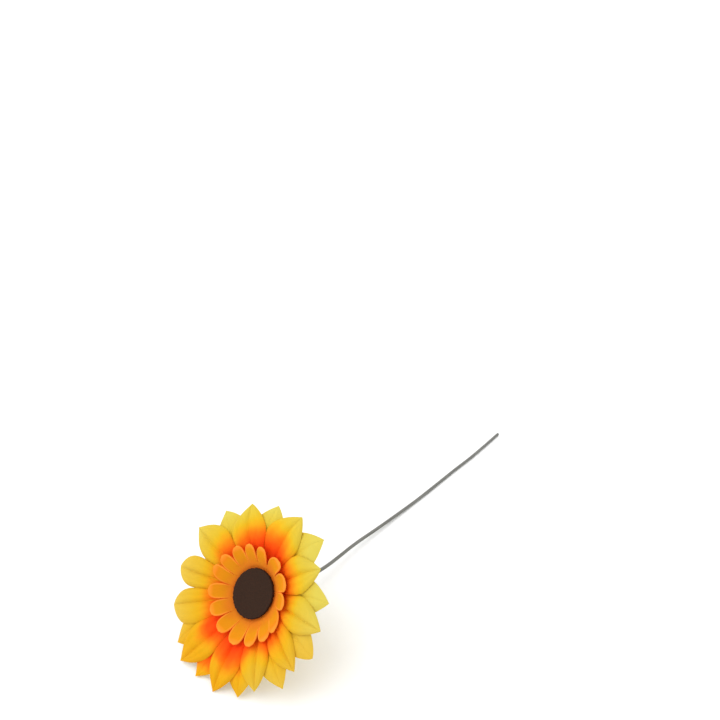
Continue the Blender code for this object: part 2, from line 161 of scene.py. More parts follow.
def petal_tree(name, outline, profile, section, fullness, sharp_section):
    """A sheet of petals: one strip for each point, bent out of the flat by the strip's own numbers.

    outline: share of the petal's width at each place along it. profile: height along its middle.
    section: height across one half, from the crease to the edge. fullness: how strong that is along it.
    """
    tree = bpy.data.node_groups.new(name, "GeometryNodeTree")
    sockets = [
        ("Petals", "NodeSocketGeometry"),
        ("Rows", "NodeSocketInt"),
        ("Columns", "NodeSocketInt"),
        ("Hole", "NodeSocketFloat"),
        ("Root", "NodeSocketFloat"),
        ("Front", "NodeSocketFloat"),
        ("Rise", "NodeSocketFloat"),
        ("Fold", "NodeSocketFloat"),
        ("Droop", "NodeSocketFloat"),
        ("Unevenness", "NodeSocketFloat"),
        ("Seed", "NodeSocketFloat"),
        ("Foam", "NodeSocketMaterial"),
    ]
    for label, kind in sockets:
        tree.interface.new_socket(label, in_out="INPUT", socket_type=kind)
    tree.interface.new_socket("Sheet", in_out="OUTPUT", socket_type="NodeSocketGeometry")
    entry = add_node(tree, "NodeGroupInput").outputs

    rows = add_node(tree, "ShaderNodeMath", {0: entry["Rows"], 1: 1}, operation="ADD").outputs[0]
    columns = add_node(tree, "ShaderNodeMath", {0: entry["Columns"], 1: 1}, operation="ADD").outputs[0]
    strip = add_node(
        tree,
        "GeometryNodeMeshGrid",
        {"Size X": 1.0, "Size Y": 2.0, "Vertices X": rows, "Vertices Y": columns},
    )
    strips = add_node(
        tree,
        "GeometryNodeInstanceOnPoints",
        {"Points": entry["Petals"], "Instance": strip.outputs["Mesh"]},
    )
    strips = add_node(tree, "GeometryNodeRealizeInstances", {"Geometry": strips.outputs[0]})

    value = {}
    for label in ("turn", "left", "right", "tip", "lean", "lift", "curl", "twist", "blunt", "seed"):
        value[label] = add_node(
            tree, "GeometryNodeInputNamedAttribute", {"Name": label}, data_type="FLOAT"
        ).outputs["Attribute"]
    position = add_node(tree, "GeometryNodeInputPosition").outputs[0]
    place = add_node(tree, "ShaderNodeSeparateXYZ", {0: position}).outputs

    for label in ("Hole", "Root", "Front", "Rise", "Fold", "Droop", "Unevenness", "Seed"):
        value[label] = entry[label]
    value["across"] = place["Y"]
    value["side"] = add_node(tree, "ShaderNodeMath", {0: place["Y"]}, operation="ABSOLUTE").outputs[0]
    row_share = add_node(tree, "ShaderNodeMath", {0: place["X"], 1: 0.5}, operation="ADD").outputs[0]
    value["along"] = add_node(
        tree, "ShaderNodeMapRange", {"Value": row_share, "From Min": HUB_SHARE, "From Max": 1.0}
    ).outputs[0]
    value["hub reach"] = add_node(
        tree,
        "ShaderNodeMapRange",
        {"Value": row_share, "From Max": HUB_SHARE, "To Min": entry["Hole"], "To Max": entry["Root"]},
    ).outputs[0]
    for label, points, key, sharp in (
        ("outline", outline, "along", ()),
        ("profile", profile, "along", ()),
        ("fullness", fullness, "along", ()),
        ("section", section, "side", sharp_section),
    ):
        bent = add_node(tree, "ShaderNodeFloatCurve", {"Value": value[key]})
        value[label] = shape_curve(bent, points, sharp)
    uneven_place = add_node(
        tree,
        "ShaderNodeCombineXYZ",
        {"X": value["along"], "Y": value["across"], "Z": value["seed"]},
    )
    value["noise"] = add_node(
        tree,
        "ShaderNodeTexNoise",
        {
            "Vector": uneven_place.outputs[0],
            "W": entry["Seed"],
            "Scale": UNEVEN_SCALE,
            "Detail": 1.0,
        },
        noise_dimensions="4D",
    ).outputs[0]
    # Each step is a Math node: its name, its operation and what goes in.
    steps = [
        ("length", "SUBTRACT", "tip", "Root"),
        ("reach", "MULTIPLY_ADD", "length", "along", "hub reach"),
        ("is right", "GREATER_THAN", "across", 0.0),
        ("more right", "SUBTRACT", "right", "left"),
        ("half", "MULTIPLY_ADD", "more right", "is right", "left"),
        ("blunted", "POWER", "outline", "blunt"),
        ("spread", "MULTIPLY", "half", "blunted"),
        ("side turn", "MULTIPLY", "spread", "across"),
        ("along squared", "MULTIPLY", "along", "along"),
        ("past band", "SUBTRACT", "along", BAND_SHARE),
        ("past band only", "MAXIMUM", "past band", 0.0),
        ("past band share", "DIVIDE", "past band only", 1 - BAND_SHARE),
        ("lean share", "MULTIPLY", "past band share", "past band share"),
        ("leaning", "MULTIPLY_ADD", "lean", "lean share", "turn"),
        ("angle", "ADD", "leaning", "side turn"),
        ("sine", "SINE", "angle"),
        ("cosine", "COSINE", "angle"),
        ("x", "MULTIPLY", "reach", "sine"),
        ("y", "MULTIPLY", "reach", "cosine"),
        ("rising", "MULTIPLY_ADD", "profile", "Rise", "Front"),
        ("full fold", "MULTIPLY", "section", "fullness"),
        ("folded", "MULTIPLY_ADD", "full fold", "Fold", "rising"),
        ("lifted", "MULTIPLY_ADD", "lift", "along squared", "folded"),
        ("twisting", "MULTIPLY", "twist", "across"),
        ("twisted", "MULTIPLY_ADD", "twisting", "fullness", "lifted"),
        ("free", "SUBTRACT", "along", DROOP_START),
        ("free only", "MAXIMUM", "free", 0.0),
        ("side squared", "MULTIPLY", "side", "side"),
        ("free side", "MULTIPLY", "free only", "side squared"),
        ("gone at the tip", "SQRT", "outline"),
        ("drooping", "MULTIPLY", "free side", "gone at the tip"),
        ("full droop", "MULTIPLY", "drooping", "Droop"),
        ("drooped", "SUBTRACT", "twisted", "full droop"),
        ("end", "SUBTRACT", "along", CURL_START),
        ("end only", "MAXIMUM", "end", 0.0),
        ("end squared", "MULTIPLY", "end only", "end only"),
        ("curled", "MULTIPLY_ADD", "end squared", "curl", "drooped"),
        ("noise middle", "SUBTRACT", "noise", 0.5),
        ("noise full", "MULTIPLY", "noise middle", "fullness"),
        ("z", "MULTIPLY_ADD", "noise full", "Unevenness", "curled"),
        ("reach in mm", "MULTIPLY", "reach", 1 / MM),
    ]
    for label, operation, *terms in steps:
        inputs = {i: value.get(term, term) for i, term in enumerate(terms)}
        value[label] = add_node(tree, "ShaderNodeMath", inputs, operation=operation).outputs[0]
    spot = add_node(tree, "ShaderNodeCombineXYZ", {"X": value["x"], "Y": value["y"], "Z": value["z"]})
    shaped = strips.outputs[0]
    for label in ("along", "across", "reach in mm", "sine", "cosine"):
        stored = add_node(
            tree,
            "GeometryNodeStoreNamedAttribute",
            {"Geometry": shaped, "Name": label, "Value": value[label]},
            data_type="FLOAT",
            domain="POINT",
        )
        shaped = stored.outputs[0]
    moved = add_node(tree, "GeometryNodeSetPosition", {"Geometry": shaped, "Position": spot.outputs[0]})
    joined = add_node(
        tree, "GeometryNodeMergeByDistance", {"Geometry": moved.outputs[0], "Distance": WELD}
    )
    facing = add_node(tree, "GeometryNodeFlipFaces", {"Mesh": joined.outputs[0]})
    whole = add_node(tree, "GeometryNodeRealizeInstances", {"Geometry": facing.outputs[0]})
    finished = add_node(
        tree, "GeometryNodeSetMaterial", {"Geometry": whole.outputs[0], "Material": entry["Foam"]}
    )
    add_node(tree, "NodeGroupOutput", {0: finished.outputs[0]})
    return tree


# ------------------------------------------------------------------ objects


def put_in_scene(name, data):
    """Makes an object of the data and links it to the scene."""
    made = bpy.data.objects.new(name, data)
    bpy.context.scene.collection.objects.link(made)
    return made


def plain_mesh(item, name):
    """Turns an object's evaluated shape into a plain mesh object and removes the first one."""
    graph = bpy.context.evaluated_depsgraph_get()
    data = bpy.data.meshes.new_from_object(item.evaluated_get(graph), depsgraph=graph)
    data.name = name
    bpy.data.objects.remove(item, do_unlink=True)
    return put_in_scene(name, data)


def grow(guide, name, tree, inputs):
    """Runs a geometry tree on the guide and keeps only the mesh that comes out."""
    growing = guide.modifiers.new("grown", "NODES")
    growing.node_group = tree
    for socket in tree.interface.items_tree:
        if socket.in_out == "INPUT" and socket.name in inputs:
            growing[socket.identifier] = inputs[socket.name]
    return plain_mesh(guide, name)


def thicken(item, name, thickness, finish_count=1):
    """Gives an open surface its thickness behind it.

    Its last finish is the cut edge's, and the back takes its second one where there is one.
    """
    wall = item.modifiers.new("thickness", "SOLIDIFY")
    wall.thickness = thickness
    wall.offset = -1
    wall.use_even_offset = False
    wall.material_offset = min(1, finish_count - 1)
    wall.material_offset_rim = finish_count - 1
    # The bevel shrinks to what the shortest edges leave room for, so the cut edges stay nearly sharp.
    edge = item.modifiers.new("soft_edge", "BEVEL")
    edge.width = 0.3 * thickness
    edge.segments = 2
    edge.limit_method = "ANGLE"
    edge.angle_limit = math.radians(50)
    item = plain_mesh(item, name)
    item.data.shade_smooth()
    return item


def petal_points(name, petals):
    """One point for each petal, carrying its numbers."""
    data = bpy.data.meshes.new(name)
    data.from_pydata([(0, 0, 0)] * len(petals), [], [])
    for label in petals[0]:
        stored = data.attributes.new(label, "FLOAT", "POINT")
        stored.data.foreach_set("value", [petal[label] for petal in petals])
    return put_in_scene(name, data)


def make_sheet(name, petals, tree, inputs, thickness, finishes):
    """A moulded sheet: the tree's surface, turned to face where the head does and given its thickness."""
    guide = petal_points(name + "_points", petals)
    sheet = grow(guide, name, tree, dict(inputs, Foam=finishes[0]))
    sheet.data.materials.clear()
    for finish in finishes:
        sheet.data.materials.append(finish)
    sheet.data.transform(HEAD)
    return thicken(sheet, name, thickness, len(finishes))


# ------------------------------------------------------------------ materials

SPRAY_CURVE_MM = 80.0  # the reach that a spray edge's curve gives as 1


def new_material(name):
    """An empty node material and its tree."""
    made = bpy.data.materials.new(name)
    made.use_nodes = True
    made.node_tree.nodes.clear()
    return made, made.node_tree


def foam_material(name, ramp, spray_edge, fade_mm, grain_mm, rim=None, lower=None, sheer=0.25):
    """Hot-moulded EVA foam with airbrushed colour: dull, soft-edged, a little light comes through it.

    ramp: from the sprayed base to the plain foam. spray_edge: how far out the sprayed base reaches, in mm,
    at places round the flower from 0 to 1. fade_mm: where the ramp starts and ends, from that edge.
    rim: the colour of a highlight painted along a petal's rim. lower: a deeper colour that tints the plain
    foam low on the flower, and its share at places.
    """
    made, tree = new_material(name)
    place = add_node(tree, "ShaderNodeTexCoord").outputs["Object"]
    cloud = add_node(
        tree,
        "ShaderNodeTexNoise",
        {"Vector": place, "Scale": 1 / (14 * MM), "Detail": 3.0, "Roughness": 0.55},
    ).outputs[0]
    value = {}
    value["cloud shift"] = add_node(
        tree,
        "ShaderNodeMapRange",
        {"Value": cloud, "From Min": 0.3, "From Max": 0.7, "To Min": -2.0, "To Max": 2.0},
    ).outputs[0]
    for label in ("sine", "cosine", "reach in mm", "spray", "spray tilt", "across"):
        value[label] = add_node(tree, "ShaderNodeAttribute", attribute_name=label).outputs["Fac"]
    # The curve's own place round the flower comes out of the steps, so it is linked after them.
    edge_curve = add_node(tree, "ShaderNodeFloatCurve")
    edge_points = [(turned, reach_mm / SPRAY_CURVE_MM) for turned, reach_mm in spray_edge]
    value["edge share"] = shape_curve(edge_curve, edge_points)
    # Each step is a Math node: its name, its operation and what goes in.
    steps = [
        ("angle", "ARCTAN2", "sine", "cosine"),
        ("turn", "DIVIDE", "angle", math.tau),
        ("turn above 0", "ADD", "turn", 1.0),
        ("place round", "FLOORED_MODULO", "turn above 0", 1.0),
        ("own spray", "MULTIPLY_ADD", "spray tilt", "across", "spray"),
        ("edge in mm", "MULTIPLY", "edge share", SPRAY_CURVE_MM),
        ("past own spray", "SUBTRACT", "reach in mm", "own spray"),
        ("past clouds", "ADD", "past own spray", "cloud shift"),
        ("past edge", "SUBTRACT", "past clouds", "edge in mm"),
    ]
    for label, operation, *terms in steps:
        inputs = {i: value.get(term, term) for i, term in enumerate(terms)}
        value[label] = add_node(tree, "ShaderNodeMath", inputs, operation=operation).outputs[0]
    tree.links.new(value["place round"], edge_curve.inputs["Value"])
    start, end = fade_mm
    fade = add_node(
        tree, "ShaderNodeMapRange", {"Value": value["past edge"], "From Min": start, "From Max": end}
    ).outputs[0]
    colour = shape_ramp(add_node(tree, "ShaderNodeValToRGB", {"Fac": fade}), ramp)
    if lower:
        # The deeper colour tints the plain foam, and fades where the spray starts.
        lower_colour, lower_shares = lower
        share_curve = add_node(tree, "ShaderNodeFloatCurve", {"Value": value["place round"]})
        lower_share = shape_curve(share_curve, lower_shares)
        clear_of_spray = add_node(
            tree, "ShaderNodeMapRange", {"Value": value["past edge"], "From Min": -2.0, "From Max": 9.0}
        ).outputs[0]
        mixed = add_node(
            tree, "ShaderNodeMath", {0: lower_share, 1: clear_of_spray}, operation="MULTIPLY"
        ).outputs[0]
        tinted = add_node(
            tree,
            "ShaderNodeMix",
            {"Factor": mixed, MIX_A: colour, MIX_B: linear(lower_colour)},
            data_type="RGBA",
        )
        colour = tinted.outputs[MIX_RESULT]
    if rim:
        # The rim's painted highlight lies along the petal's sides and end, and fades in past the joined band.
        along = add_node(tree, "ShaderNodeAttribute", attribute_name="along").outputs["Fac"]
        side = add_node(tree, "ShaderNodeMath", {0: value["across"]}, operation="ABSOLUTE").outputs[0]
        nearest = add_node(tree, "ShaderNodeMath", {0: side, 1: along}, operation="MAXIMUM").outputs[0]
        rim_highlight_share = add_node(
            tree, "ShaderNodeMapRange", {"Value": nearest, "From Min": 0.8, "From Max": 0.97}
        ).outputs[0]
        started = add_node(
            tree, "ShaderNodeMapRange", {"Value": along, "From Min": 0.2, "From Max": 0.5}
        ).outputs[0]
        rim_highlight_share = add_node(
            tree, "ShaderNodeMath", {0: rim_highlight_share, 1: started}, operation="MULTIPLY"
        ).outputs[0]
        # The painted highlight is mixed in along the rim.
        rim_highlighted = add_node(
            tree,
            "ShaderNodeMix",
            {"Factor": rim_highlight_share, MIX_A: colour, MIX_B: linear(rim)},
            data_type="RGBA",
        )
        colour = rim_highlighted.outputs[MIX_RESULT]
    grain = add_node(
        tree,
        "ShaderNodeTexNoise",
        {"Vector": place, "Scale": 1 / (grain_mm * MM), "Detail": 2.0},
    ).outputs[0]
    bump = add_node(tree, "ShaderNodeBump", {"Strength": 0.12, "Distance": 0.2 * MM, "Height": grain})
    face = add_node(
        tree,
        "ShaderNodeBsdfPrincipled",
        {
            "Base Color": colour,
            "Roughness": 0.72,
            "Specular IOR Level": 0.12,
            "IOR": 1.49,
            "Normal": bump.outputs[0],
        },
    )
    through = add_node(tree, "ShaderNodeBsdfTranslucent", {"Color": colour, "Normal": bump.outputs[0]})
    shader = add_node(
        tree, "ShaderNodeMixShader", {0: sheer, 1: face.outputs[0], 2: through.outputs[0]}
    )
    add_node(tree, "ShaderNodeOutputMaterial", {"Surface": shader.outputs[0]})
    return made


def plain_material(name, colour, darker, roughness, grain_mm, bump_mm, metallic=0.0, specular=0.4):
    """A finish with a slight cloudiness and a grain of its own size."""
    made, tree = new_material(name)
    place = add_node(tree, "ShaderNodeTexCoord").outputs["Object"]
    grain = add_node(
        tree,
        "ShaderNodeTexNoise",
        {"Vector": place, "Scale": 1 / (grain_mm * MM), "Detail": 4.0, "Roughness": 0.6},
    ).outputs[0]
    colours = shape_ramp(
        add_node(tree, "ShaderNodeValToRGB", {"Fac": grain}), [(0.35, darker), (0.65, colour)]
    )
    bump = add_node(
        tree, "ShaderNodeBump", {"Strength": 0.6, "Distance": bump_mm * MM, "Height": grain}
    )
    shader = add_node(
        tree,
        "ShaderNodeBsdfPrincipled",
        {
            "Base Color": colours,
            "Roughness": roughness,
            "Metallic": metallic,
            "Specular IOR Level": specular,
            "Normal": bump.outputs[0],
        },
    )
    add_node(tree, "ShaderNodeOutputMaterial", {"Surface": shader.outputs[0]})
    return made


def leaf_material(name, colour, darker, vein_colour):
    """Dyed polyester leaf cloth, pressed hot: a fine weave, two greens in clouds and paler veins."""
    made, tree = new_material(name)
    place = add_node(tree, "ShaderNodeTexCoord").outputs["Object"]
    cloud = add_node(
        tree, "ShaderNodeTexNoise", {"Vector": place, "Scale": 1 / (9 * MM), "Detail": 3.0}
    ).outputs[0]
    greens = shape_ramp(
        add_node(tree, "ShaderNodeValToRGB", {"Fac": cloud}), [(0.38, darker), (0.62, colour)]
    )
    vein = add_node(tree, "ShaderNodeAttribute", attribute_name="vein").outputs["Fac"]
    veined = add_node(
        tree,
        "ShaderNodeMix",
        {"Factor": vein, MIX_A: greens, MIX_B: linear(vein_colour)},
        data_type="RGBA",
    ).outputs[MIX_RESULT]
    weave = add_node(
        tree,
        "ShaderNodeTexVoronoi",
        {"Vector": place, "Scale": 1 / (0.45 * MM), "Randomness": 0.6},
    ).outputs["Distance"]
    bump = add_node(tree, "ShaderNodeBump", {"Strength": 0.5, "Distance": 0.1 * MM, "Height": weave})
    face = add_node(
        tree,
        "ShaderNodeBsdfPrincipled",
        {
            "Base Color": veined,
            "Roughness": 0.78,
            "Specular IOR Level": 0.3,
            "Sheen Weight": 0.15,
            "Normal": bump.outputs[0],
        },
    )
    through = add_node(tree, "ShaderNodeBsdfTranslucent", {"Color": veined})
    shader = add_node(
        tree, "ShaderNodeMixShader", {0: 0.15, 1: face.outputs[0], 2: through.outputs[0]}
    )
    add_node(tree, "ShaderNodeOutputMaterial", {"Surface": shader.outputs[0]})
    return made


STREAK_MM = 25  # a streak's length along the stem
STREAKS_ROUND = 6.0


def coating_material(name, colour, darker):
    """Extruded PVC on wire: satin, with faint streaks along it and a shallow unevenness from the die."""
    made, tree = new_material(name)
    length = add_node(tree, "ShaderNodeAttribute", attribute_name="length in mm").outputs["Fac"]
    turn = add_node(tree, "ShaderNodeAttribute", attribute_name="place round").outputs["Fac"]
    along = add_node(tree, "ShaderNodeMath", {0: length, 1: 1 / STREAK_MM}, operation="MULTIPLY")
    around = add_node(tree, "ShaderNodeMath", {0: turn, 1: STREAKS_ROUND}, operation="MULTIPLY")
    drawn = add_node(tree, "ShaderNodeCombineXYZ", {"X": along.outputs[0], "Y": around.outputs[0]})
    streaks = add_node(
        tree, "ShaderNodeTexNoise", {"Vector": drawn.outputs[0], "Scale": 1.0, "Detail": 4.0}
    ).outputs[0]
    colours = shape_ramp(
        add_node(tree, "ShaderNodeValToRGB", {"Fac": streaks}), [(0.35, darker), (0.65, colour)]
    )
    bump = add_node(tree, "ShaderNodeBump", {"Strength": 0.4, "Distance": 0.1 * MM, "Height": streaks})
    shader = add_node(
        tree,
        "ShaderNodeBsdfPrincipled",
        {
            "Base Color": colours,
            "Roughness": 0.42,
            "Specular IOR Level": 0.4,
            "Normal": bump.outputs[0],
        },
    )
    add_node(tree, "ShaderNodeOutputMaterial", {"Surface": shader.outputs[0]})
    return made


# Where the airbrushed base ends round the flower, clockwise from the top: (share of a turn, mm).
UPPER_SPRAY_EDGE = [
    (0.0, 48.5),
    (0.04, 48),
    (0.083, 42),
    (0.167, 38.7),
    (0.24, 36),
    (0.3, 42),
    (0.34, 45.5),
    (0.39, 40),
    (0.43, 50),
    (0.46, 54),
    (0.505, 50),
    (0.536, 47),
    (0.575, 50),
    (0.61, 43),
    (0.653, 39.5),
    (0.736, 36),
    (0.78, 38),
    (0.819, 44),
    (0.86, 41.5),
    (0.91, 43.5),
    (0.95, 45),
    (1.0, 48.5),
]
# Low on the flower the plain foam is tinted a deeper, darker colour: (share of a turn, share of the deeper
# colour).
DEEPER_PLACES = [
    (0.0, 0.0),
    (0.167, 0.0),
    (0.24, 0.2),
    (0.325, 0.55),
    (0.39, 0.45),
    (0.44, 0.8),
    (0.5, 1.0),
    (0.576, 0.9),
    (0.653, 0.45),
    (0.736, 0.4),
    (0.82, 0.15),
    (0.9, 0.0),
    (1.0, 0.0),
]

# The large petals' front: dull yellow foam whose orange spray fades out in clouds towards the tips. The
# foam's cells are under 0.2 mm, and are drawn at 0.5 mm so that they show.
yellow_foam = foam_material(
    "yellow_eva_foam_airbrushed_orange",
    [
        (0.0, "FF4A08"),
        (0.15, "FF5C08"),
        (0.275, "FC7A0C"),
        (0.35, "F89010"),
        (0.45, "F2AC18"),
        (0.55, "EABE20"),
        (0.65, "E2C436"),
        (0.85, "DDC74A"),
        (1.0, "DCCD58"),
    ],
    spray_edge=UPPER_SPRAY_EDGE,
    fade_mm=(-14.0, 26.0),
    grain_mm=0.5,
    # A deeper, darker tint low on the flower.
    lower=("E8AA0E", DEEPER_PLACES),
)
# Their back isn't sprayed, so it keeps the plain foam's yellow.
yellow_foam_back = foam_material(
    "yellow_eva_foam_unsprayed_back",
    [(0.0, "E8C02C"), (1.0, "E6CC44")],
    spray_edge=[(0.0, 0.0), (1.0, 0.0)],
    fade_mm=(0.0, 60.0),
    grain_mm=0.5,
)
# The small petals: dull orange foam, sprayed redder at the base, with a painted highlight along the rim,
# where it catches the light.
orange_foam = foam_material(
    "orange_eva_foam_airbrushed_base",
    [(0.0, "E67420"), (0.3, "E68818"), (0.55, "E6960E"), (0.8, "E8940E"), (1.0, "EC8814")],
    spray_edge=[(0.0, 24.0), (1.0, 24.0)],
    fade_mm=(-6.0, 12.0),
    grain_mm=0.5,
    # The colour of the highlight painted along the rim.
    rim="FFA034",
    sheer=0.2,
)
# Their cut edge is painted brighter, as a highlight where the rim catches the light, and its grain is finer.
orange_foam_edge = foam_material(
    "orange_eva_foam_cut_edge",
    [(0.0, "F88424"), (1.0, "FFA034")],
    spray_edge=[(0.0, 24.0), (1.0, 24.0)],
    fade_mm=(-7.0, 7.0),
    grain_mm=0.3,
    sheer=0.2,
)
# Flocked foam is a very dark brown with no shine. The flock's fibres are too fine to show, so it is drawn
# as clumps of 0.6 mm, which give it a soft, granular face.
brown_foam = plain_material(
    "brown_flocked_eva_foam",
    "39261B",
    "281B14",
    roughness=0.92,
    grain_mm=0.6,
    bump_mm=0.35,
    specular=0.15,
)
# Leaf cloth is matte and lets some light through, and its pressed veins are paler. Its threads are finer than
# the 0.45 mm at which the weave is drawn, so that it shows.
leaf_green = leaf_material("green_polyester_leaf_cloth_pressed", "6F9C48", "5F8A3C", "94B86C")
# Moulded polyethylene has a smooth, waxy half-shine and hardly any grain.
calyx_green = plain_material(
    "green_polyethylene_moulded", "6A8F3E", "5C8036", roughness=0.45, grain_mm=3.0, bump_mm=0.04
)
# Extruded coating is grey and satin, and its faint streaks run along the stem.
grey_coating = coating_material("grey_pvc_wire_coating_extruded", "71716B", "61615C")
# Cut drawn wire shows bright metal with a fine grain.
bright_wire = plain_material(
    "drawn_steel_wire_cut",
    "B8B7B0",
    "9C9B95",
    roughness=0.35,
    grain_mm=0.4,
    bump_mm=0.02,
    metallic=1.0,
)
# Zinc plating is a greyer metal with pale clouds.
zinc_steel = plain_material(
    "zinc_plated_steel_pressed",
    "A2A29D",
    "8E8E8A",
    roughness=0.4,
    grain_mm=0.8,
    bump_mm=0.02,
    metallic=1.0,
)


# ------------------------------------------------------------------ the petals

UPPER_START = -29  # the first upper petal's direction, in degrees
# How far round each upper petal is pressed from an even spacing, in degrees.
UPPER_PRESSED = [0, 10, 14, 16, 10, 5, 6, 2, 5, -3, -8]

# Each layer's petals go clockwise, in mm and degrees.
# tip: distance from the head's axis. lean: how far the end bends round.
# lift, curl and twist: how much the whole petal, its end and its right rim rise.
# blunt: below 1, the end is rounder.
# spray: how much further out than its layer's edge the petal is sprayed.
# spray tilt: how much further still at its right rim, and less far at its left rim.
UPPER_PETALS = {
    "tip": [67, 70.5, 65.4, 69.8, 68.5, 67.2, 71.7, 75.6, 76, 76, 74.1],
    "lean": [3.3, 2.5, 1.3, 2.2, 3.1, 5.7, 1.4, 3.8, 1.6, -0.2, -1.1],
    "lift": [0, 0, 0, 0, 0, 0, 1.5, 0.2, 0, 0, 0],
    "curl": [-8, -8, -8, -8, -8, -8, -8, -8, -42, -42, -8],
    "twist": [0.3, -0.2, 0.3, 0.4, 0.2, 0.3, 0.3, -0.2, 0.2, 0.2, 0.3],
    "blunt": [1, 1, 1, 1, 1, 1, 1, 1, 0.65, 0.65, 1],
    "spray tilt": [3, 0.5, 2, 0, -1, -1.5, 0, 2, 1.5, 2, 3],
}
LOWER_PETALS = {
    "tip": [67.8, 73.4, 69.8, 71.9, 71.9, 70.8, 71.5, 74.8, 58, 58, 70.1],
    "lean": [2.1, 3.6, 4.1, 4.2, 1.7, 2.2, 3.3, -2.9, 0, 0, 0],
    "lift": [0, 0, 0, 0, 0, 0.5, 0, 0, -3.5, -3.5, 0],
    "curl": [-16, -16, -16, -16, -16, -16, 11, -16, -16, -16, -16],
    "twist": [0.2, 0.3, -0.2, 0.2, 0.3, 0.3, 0.2, -0.2, 0.3, 0.2, 0.2],
    "blunt": [1, 1, 1, 0.8, 1, 1, 1, 1, 1, 1, 1],
    "spray": [-8, -4, -4, -4, -2, 2, 15, 0, -4, -4, -2],
    "spray tilt": [0, -4, 0, 0, 0, 3, 4, -4, 0, 0, 0],
}
RING_TURNS = [19.5, 50, 78.8, 100.8, 121.5, 145, 170.5, 197, 224, 250.3, 272.2, 292.2, 313.8, 333.5, 353.5]
RING_PETALS = {
    "tip": [35.8, 36, 35.6, 38, 38, 37, 36, 34, 33.5, 35, 37, 36.5, 35.7, 35, 34.3],
    "lean": [11.2, 8.2, 1.0, 8.7, 2.5, -0.5, -3.5, -2.2, 0.5, -1.0, 5.0, 0.8, 3.2, 2.5, 2.5],
    "twist": [0.9, 0.5, -0.6, 0.8, 0.6, -0.5, 0.7, 0.8, -0.6, 0.6, 0.8, 0.5, -0.7, 0.6, 0.9],
}
SEED_STEP = 1.37  # how far apart two neighbours' uneven waves are taken from the noise

# The shapes of a petal, as petal_tree takes them.
PETAL_OUTLINE = [
    (0.0, 1.0),
    (0.5, 1.0),
    (0.6, 0.95),
    (0.7, 0.8),
    (0.8, 0.57),
    (0.9, 0.29),
    (0.96, 0.115),
    (1.0, 0.0),
]
PETAL_PROFILE = [(0.0, 0.0), (0.2, 0.34), (0.4, 0.66), (0.6, 0.9), (0.8, 1.0), (1.0, 0.97)]
PETAL_SECTION = [
    (0.0, 0.0),
    (0.2, 0.68),
    (0.34, 0.86),
    (0.5, 0.78),
    (0.68, 0.97),
    (0.85, 0.76),
    (1.0, 0.28),
]
PETAL_FULLNESS = [(0.0, 0.0), (0.2, 0.3), (0.4, 0.9), (0.65, 1.0), (0.85, 0.6), (1.0, 0.0)]
# Between the upper petals the lower ones rise to a ridge, so that the two layers nest.
RIDGE_SECTION = [(0.0, 0.2), (0.16, 0.85), (0.32, 0.9), (0.6, 0.6), (0.85, 0.3), (1.0, 0.1)]
RING_OUTLINE = [
    (0.0, 1.0),
    (0.2, 1.0),
    (0.3, 0.96),
    (0.45, 0.935),
    (0.6, 0.89),
    (0.75, 0.785),
    (0.87, 0.6),
    (0.96, 0.33),
    (1.0, 0.0),
]
RING_PROFILE = [(0.0, 0.0), (0.3, 0.26), (0.6, 0.58), (1.0, 1.0)]
RING_SECTION = [(0.0, 0.0), (0.7, 0.2), (0.9, 0.6), (1.0, 1.0)]
RING_FULLNESS = [(0.0, 0.0), (0.2, 0.0), (0.45, 1.0), (0.8, 0.8), (1.0, 0.0)]


def halves(turns):
    """Half the angle from each direction to its neighbours, on its left and on its right."""
    count = len(turns)
    found = []
    for i, turn in enumerate(turns):
        left = (turn - turns[i - 1]) % math.tau / 2
        right = (turns[(i + 1) % count] - turn) % math.tau / 2
        found.append((left, right))
    return found


def petals_of(turns, numbers):
    """Each petal's numbers in metres and radians. One that the layer leaves out is 0, or for blunt 1."""
    petals = []
    for i, (left, right) in enumerate(halves(turns)):
        own = {label: row[i] for label, row in numbers.items()}
        petals.append(
            {
                "turn": turns[i],
                "left": left,
                "right": right,
                "tip": own["tip"] * MM,
                "lean": math.radians(own["lean"]),
                "lift": own.get("lift", 0) * MM,
                "curl": own.get("curl", 0) * MM,
                "twist": own["twist"] * MM,
                "blunt": own.get("blunt", 1),
                "seed": i * SEED_STEP,
                "spray": own.get("spray", 0),
                "spray tilt": own.get("spray tilt", 0),
            }
        )
    return petals


upper_turns = [
    math.radians(UPPER_START + 360 / len(UPPER_PRESSED) * i + pressed)
    for i, pressed in enumerate(UPPER_PRESSED)
]
# Each lower petal lies midway between two upper ones.
lower_turns = [turn + right for turn, (left, right) in zip(upper_turns, halves(upper_turns))]
ring_turns = [math.radians(turn) for turn in RING_TURNS]

large = {"Rows": 40, "Columns": 24, "Hole": STEM_HOLE, "Root": 19.5 * MM}
crease = (0,)  # the section's point that keeps a corner

upper = make_sheet(
    "upper_petals",
    petals_of(upper_turns, UPPER_PETALS),
    petal_tree("Upper Petal Layer", PETAL_OUTLINE, PETAL_PROFILE, PETAL_SECTION, PETAL_FULLNESS, crease),
    {
        **large,
        "Front": UPPER_FRONT,
        "Rise": 12.4 * MM,
        "Fold": 3.0 * MM,
        "Droop": 4.5 * MM,
        "Unevenness": 0.9 * MM,
        "Seed": 3.0,
    },
    PETAL_SHEET,
    [yellow_foam, yellow_foam_back],
)
lower = make_sheet(
    "lower_petals",
    petals_of(lower_turns, LOWER_PETALS),
    petal_tree("Lower Petal Layer", PETAL_OUTLINE, PETAL_PROFILE, RIDGE_SECTION, PETAL_FULLNESS, crease),
    {
        **large,
        "Front": LOWER_FRONT,
        "Rise": 12.2 * MM,
        "Fold": 1.3 * MM,
        "Droop": 3.5 * MM,
        "Unevenness": 0.6 * MM,
        "Seed": 8.0,
    },
    PETAL_SHEET,
    [yellow_foam, yellow_foam_back],
)
